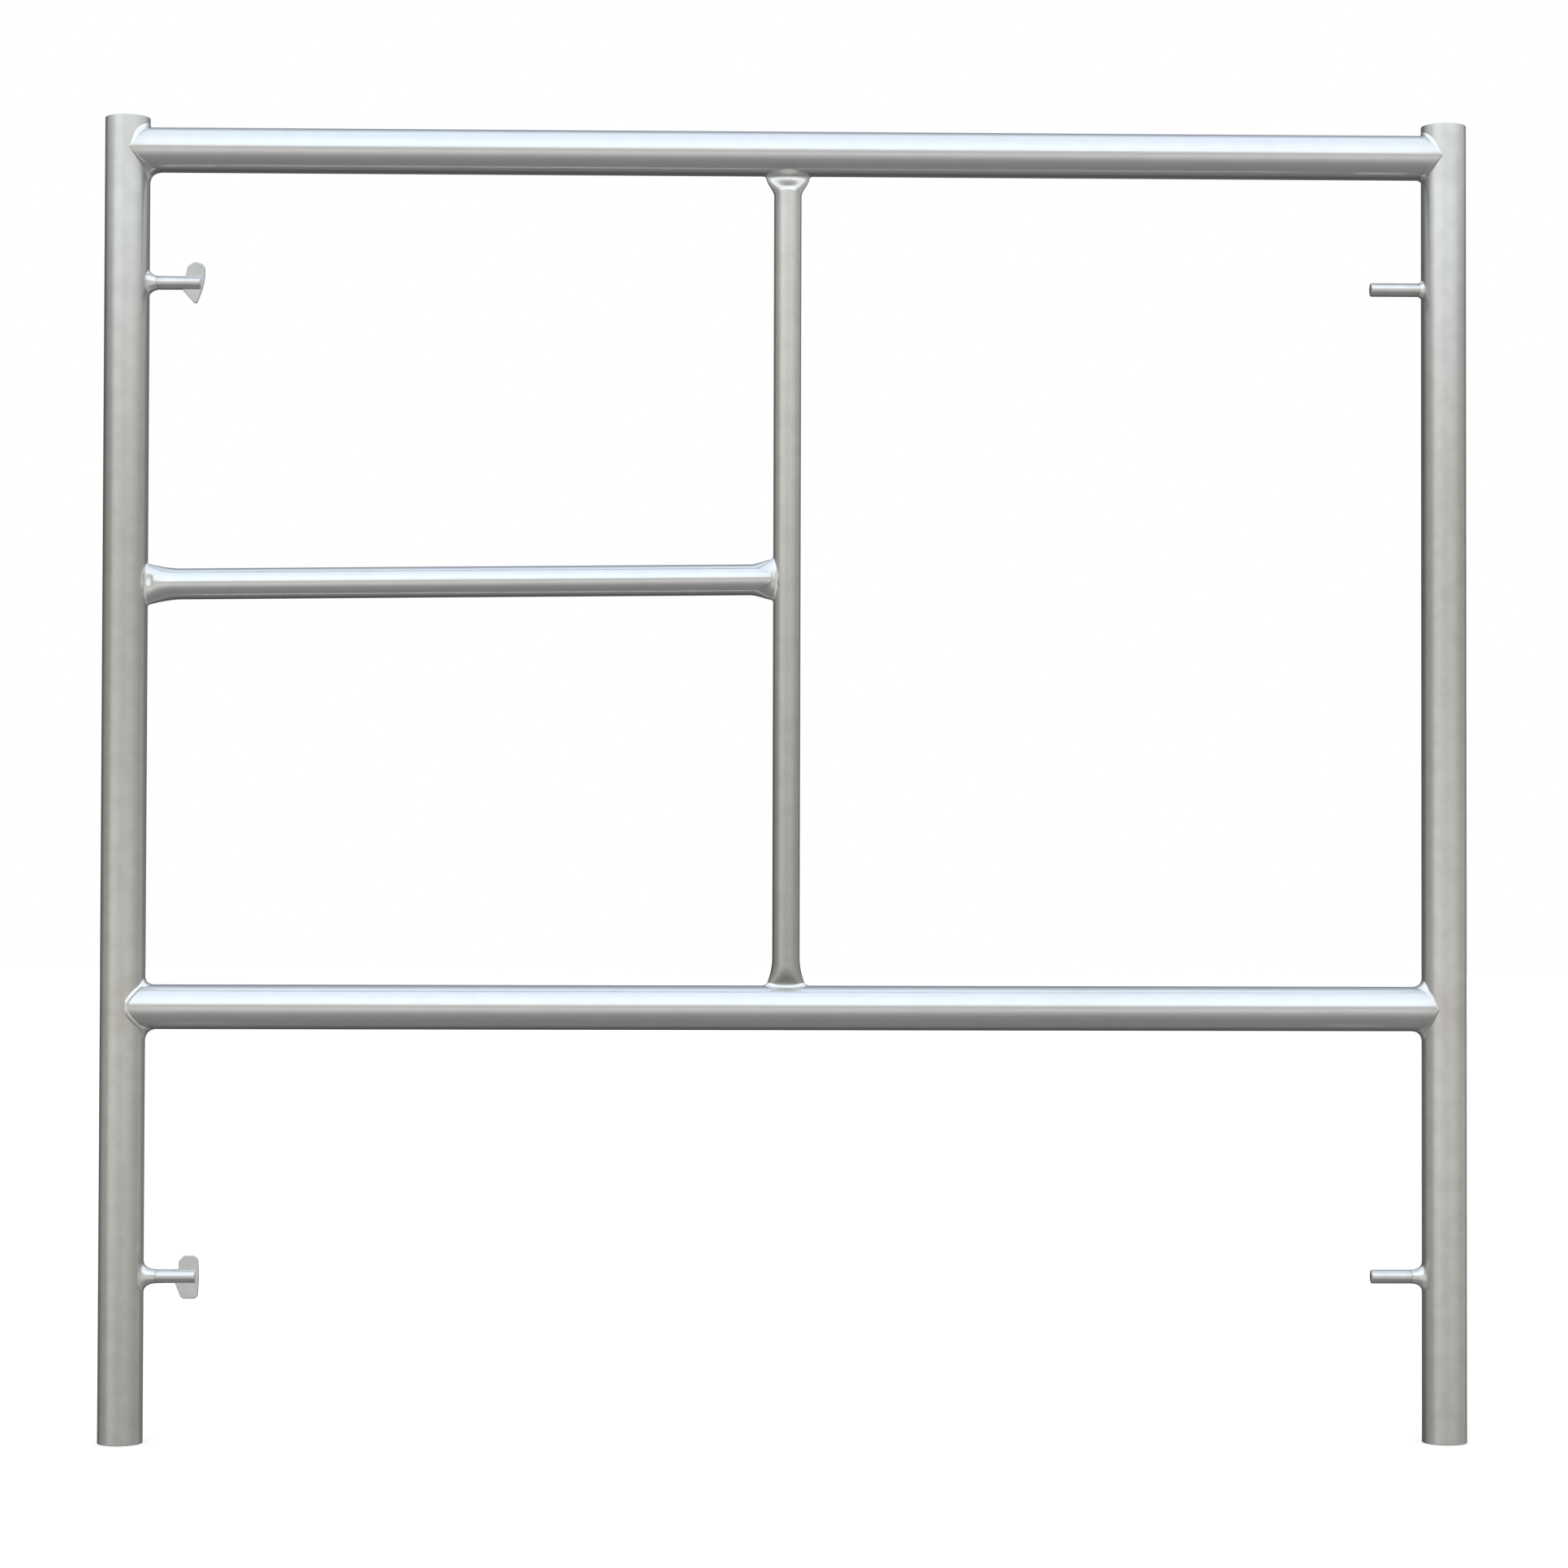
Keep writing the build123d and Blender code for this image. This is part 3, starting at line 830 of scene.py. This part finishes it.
dress(["upper_left_stud", "lower_left_stud", "upper_right_stud", "lower_right_stud"], studSteel)
dress(["upper_left_toggle", "lower_left_toggle"], lockZinc)
dress(["upper_left_toggle_rivet", "lower_left_toggle_rivet"], rivetSteel)


# Studio: pale floor, soft sky and a camera almost straight on.

skyRows = [  # degrees above the horizon, and the light that comes from there
    (-90, (0.20, 0.20, 0.19)),
    (-62, (0.22, 0.22, 0.215)),
    (-38, (0.27, 0.27, 0.265)),
    (-25, (0.39, 0.39, 0.385)),
    (-14, (0.55, 0.55, 0.54)),
    (-6, (0.68, 0.68, 0.66)),
    (0, (0.59, 0.59, 0.57)),
    (8, (0.54, 0.53, 0.50)),
    (12.5, (0.58, 0.57, 0.54)),
    (18.5, (1.06, 1.14, 1.19)),
    (40, (1.04, 1.13, 1.19)),
    (65, (0.92, 1.02, 1.12)),
    (90, (0.84, 0.96, 1.08)),
]
sideRows = [  # degrees round from the camera, to its right, and the share of light near the horizon
    (-180, 0.80), (-140, 0.60), (-105, 0.55), (-75, 0.62), (-60, 1.02), (-42, 1.14), (-20, 1.04), (-6, 0.97),
    (8, 0.96), (22, 1.0), (48, 0.92), (72, 0.74), (95, 0.65), (125, 1.00), (150, 1.20), (180, 0.80),
]
skyGain = 1.3  # a ramp's colors stay under 1, so their light is given back after it
farShade = {  # the studio behind the frame is dark, which outlines the tubes
    "start": 0.10,
    "end": 0.80,
    "light": (0.30, 0.30, 0.33, 1),
}


def addWorld():
    world = bpy.data.worlds.new("studioSky")
    bpy.context.scene.world = world
    world.use_nodes = True
    maker = Maker(world.node_tree)
    way = maker.node("ShaderNodeTexCoord", {}, {}, 0)
    x, y, z = maker.parts("ShaderNodeSeparateXYZ", {0: way})
    height = z.maths("ARCSINE", z.above(-1).below(1)) / math.pi + 0.5
    stops = [((degrees + 90) / 180, tuple(part / skyGain for part in light)) for degrees, light in skyRows]
    top = maker.node("ShaderNodeValToRGB", {"stops": stops}, {0: height})
    heading = x.maths("ARCTAN2", x, y * -1.0) / (2 * math.pi) + 0.5
    stops = [((degrees + 180) / 360, (share / skyGain,) * 3) for degrees, share in sideRows]
    side = maker.node("ShaderNodeValToRGB", {"stops": stops}, {0: heading})
    low = abs(z).ramp(math.sin(math.radians(14)), math.sin(math.radians(40)), 1.0, 0.0)
    tinted = maker.blend(low, (1 / skyGain, 1 / skyGain, 1 / skyGain, 1), side)
    light = maker.blend(1.0, top, tinted, "MULTIPLY")
    shade = maker.blend(y.ramp(farShade["start"], farShade["end"]), (1, 1, 1, 1), farShade["light"])
    light = maker.blend(1.0, light, shade, "MULTIPLY")
    panorama = maker.node("ShaderNodeBackground", {}, {0: light, 1: skyGain * skyGain})
    wash = maker.node("ShaderNodeBackground", {}, {0: (1, 1, 1, 1), 1: 1.15})
    backdrop = maker.node("ShaderNodeBackground", {}, {0: (1, 1, 1, 1), 1: 1.0})
    rays = maker.parts("ShaderNodeLightPath", {})
    cameraRay, diffuseRay = rays[0], rays[2]
    seen = maker.node("ShaderNodeMixShader", {}, {0: diffuseRay, 1: panorama, 2: wash})
    seen = maker.node("ShaderNodeMixShader", {}, {0: cameraRay, 1: seen, 2: backdrop})
    maker.node("ShaderNodeOutputWorld", {}, {0: seen})


floorLook = {
    "reach": 14,
    "color": (0.93, 0.93, 0.93, 1),
    "hazeColor": (0.88, 0.88, 0.88, 1),
    "roughness": 0.9,
    "glow": 0.2,  # keeps the pale floor as bright as the wall behind it
}


def addFloor(look=floorLook):
    reach = look["reach"]
    material = bpy.data.materials.new("floorPaint")
    material.use_nodes = True
    maker = Maker(material.node_tree)
    coords = maker.node("ShaderNodeTexCoord", {}, {}, 3)
    haze = stretched(maker, coords, 1.5, (1, 1, 1), 2)
    color = maker.blend(haze * 0.04, look["color"], look["hazeColor"])
    inputs = {"Base Color": color, "Roughness": look["roughness"],
              "Emission Color": (1, 1, 1, 1), "Emission Strength": look["glow"]}
    shader = maker.node("ShaderNodeBsdfPrincipled", {}, inputs)
    maker.node("ShaderNodeOutputMaterial", {}, {0: shader})
    points = [(-reach, -reach, 0), (reach, -reach, 0), (reach, reach, 0), (-reach, reach, 0)]
    floor = newPiece("floor", points, [(0, 1, 2, 3)], material)
    floor.visible_glossy = False  # the steel reflects the studio's darker lower half instead


cameraSetup = {
    "place": (-0.0709, -3.3661, 0.5391),  # metres
    "turn": 1.170,  # degrees to the right of straight on
    "rise": 1.139,
    "roll": -0.154,
    "fieldOfView": 24.268,
}


def addCamera(setup=cameraSetup):
    data = bpy.data.cameras.new("viewCamera")
    data.sensor_fit = "HORIZONTAL"
    data.angle = math.radians(setup["fieldOfView"])
    data.clip_end = 100
    camera = bpy.data.objects.new("viewCamera", data)
    camera.location = setup["place"]
    look = Matrix.Rotation(math.radians(-setup["turn"]), 4, "Z")
    look = look @ Matrix.Rotation(math.radians(90 + setup["rise"]), 4, "X")
    look = look @ Matrix.Rotation(math.radians(-setup["roll"]), 4, "Z")
    camera.rotation_euler = look.to_euler()
    bpy.context.scene.collection.objects.link(camera)
    bpy.context.scene.camera = camera


addWorld()
addFloor()
addCamera()
bpy.context.scene.view_settings.view_transform = "Standard"
print("studio set")
